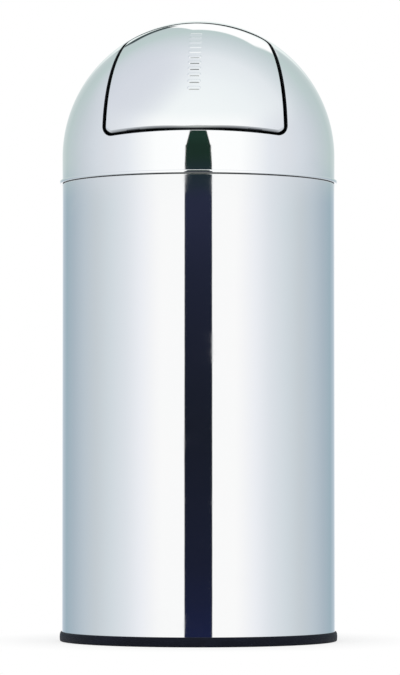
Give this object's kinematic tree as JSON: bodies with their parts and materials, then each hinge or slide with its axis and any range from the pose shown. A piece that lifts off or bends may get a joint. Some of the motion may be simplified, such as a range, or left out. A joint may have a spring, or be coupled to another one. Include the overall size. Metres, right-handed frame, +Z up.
{
  "type": "dome-top waste bin",
  "caption": "Free-standing round steel waste bin with a lift-off ball-shaped dome, a spring-closed push flap and a lift-out galvanised bucket.",
  "frame": {"origin": "on the floor at the middle of the bin's round foot", "axes": "+Z up; the flap faces -Y; +X is to the right of someone who faces the flap"},
  "size_m": [0.3362, 0.336, 0.75],
  "materials": {
    "polished_steel": "mirror-polished stainless sheet",
    "mill_steel": "plain mill-finished stainless sheet",
    "bright_steel": "ground bright",
    "spring_steel": "drawn spring wire, oiled",
    "nylon": "natural nylon",
    "black_rubber": "satin black rubber",
    "stud_rubber": "matt black rubber",
    "galvanised_steel": "hot-dip galvanised with spangle",
    "galvanised_wire": "galvanised wire"
  },
  "bodies": {
    "root": {"outer_body": "polished_steel", "body_floor": "mill_steel", "base_ring": "black_rubber"},
    "bucket": {"bucket_wall": "galvanised_steel", "bucket_base": "galvanised_steel", "bucket_ear_left": "galvanised_steel", "bucket_ear_right": "galvanised_steel", "ear_rivets": "galvanised_steel"},
    "bail": {"bail_handle": "galvanised_wire"},
    "dome": {"dome_shell": "polished_steel", "locating_ring": "mill_steel", "hinge_bracket_left": "mill_steel", "hinge_bracket_right": "mill_steel", "hinge_rod": "bright_steel", "rod_clips": "spring_steel", "stop_pins": "bright_steel", "spring_left": "spring_steel", "spring_right": "spring_steel"},
    "flap": {"flap_panel": "polished_steel", "flap_bracket_left": "mill_steel", "flap_bracket_right": "mill_steel", "flap_bush_left": "nylon", "flap_bush_right": "nylon", "stop_bracket_left": "mill_steel", "stop_bracket_right": "mill_steel", "stop_bumper_left": "stud_rubber", "stop_bumper_right": "stud_rubber"}
  },
  "joints": [
    {"name": "bucket_lift", "type": "slide", "parent": "root", "child": "bucket", "axis": [0, 0, 1], "range_m": [0, 0.55]},
    {"name": "bail_swing", "type": "hinge", "parent": "bucket", "child": "bail", "pos_m": [0, 0, 0.50676], "axis": [1, 0, 0], "range_deg": [0, 180]},
    {"name": "dome_lift", "type": "slide", "parent": "bucket", "child": "dome", "axis": [0, 0, 1], "range_m": [0, 0.3]},
    {"name": "flap_swing", "type": "hinge", "parent": "dome", "child": "flap", "pos_m": [0, -0.028, 0.70766], "axis": [1, 0, 0], "range_deg": [0, 65], "stiffness_Nm_per_rad": 0.35, "springref_deg": -97.4, "deforming": ["spring_left", "spring_right"]}
  ]
}
